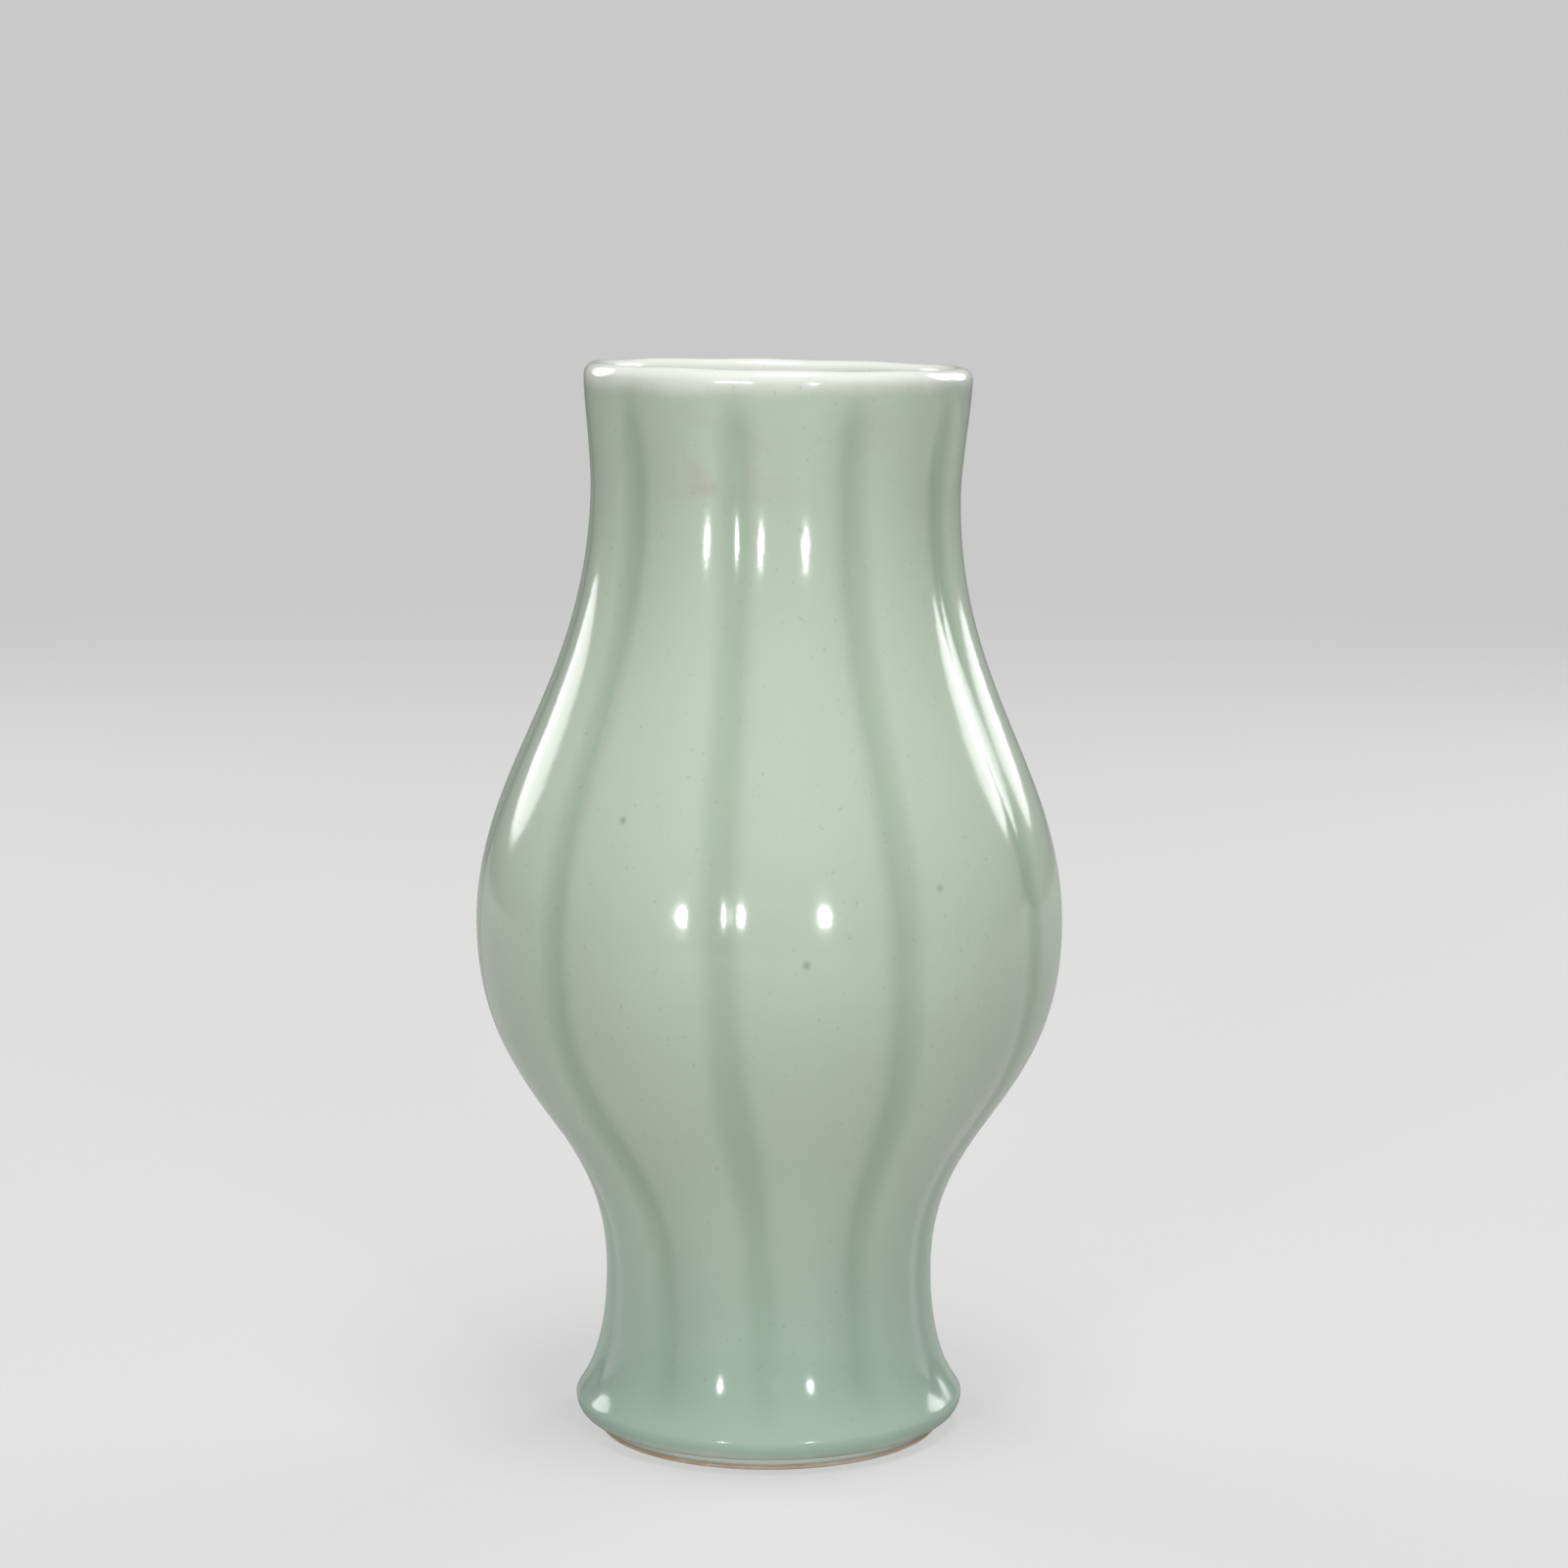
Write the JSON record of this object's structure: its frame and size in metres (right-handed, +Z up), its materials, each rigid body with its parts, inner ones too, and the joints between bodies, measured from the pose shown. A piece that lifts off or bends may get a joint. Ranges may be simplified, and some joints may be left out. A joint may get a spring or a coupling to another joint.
{
  "type": "ribbed olive-shaped vase",
  "caption": "Celadon-glazed porcelain vase, olive-shaped body on a splayed stem, tall neck with a slightly flared mouth, shallow flutes from foot to lip.",
  "frame": {"origin": "centre of the foot on the surface that the vase stands on", "axes": "+Z up along the vase's axis, -Y towards the viewer of the picture, +X to that viewer's right"},
  "size_m": [0.1478, 0.1478, 0.2708],
  "materials": {
    "celadon_glaze": "glossy pale grey-green celadon glaze, greener where it pools in the flutes",
    "bare_foot": "bare fired porcelain, matt, orange-brown at the glaze edge",
    "joint_slip": "fired slip under the glaze"
  },
  "bodies": {
    "root": {"foot_ring": "bare_foot", "splayed_foot": "celadon_glaze", "stem_slip_joint": "joint_slip", "lower_belly": "celadon_glaze", "belly_slip_joint": "joint_slip", "shoulder": "celadon_glaze", "neck_slip_joint": "joint_slip", "mouth_and_neck": "celadon_glaze"}
  },
  "joints": []
}
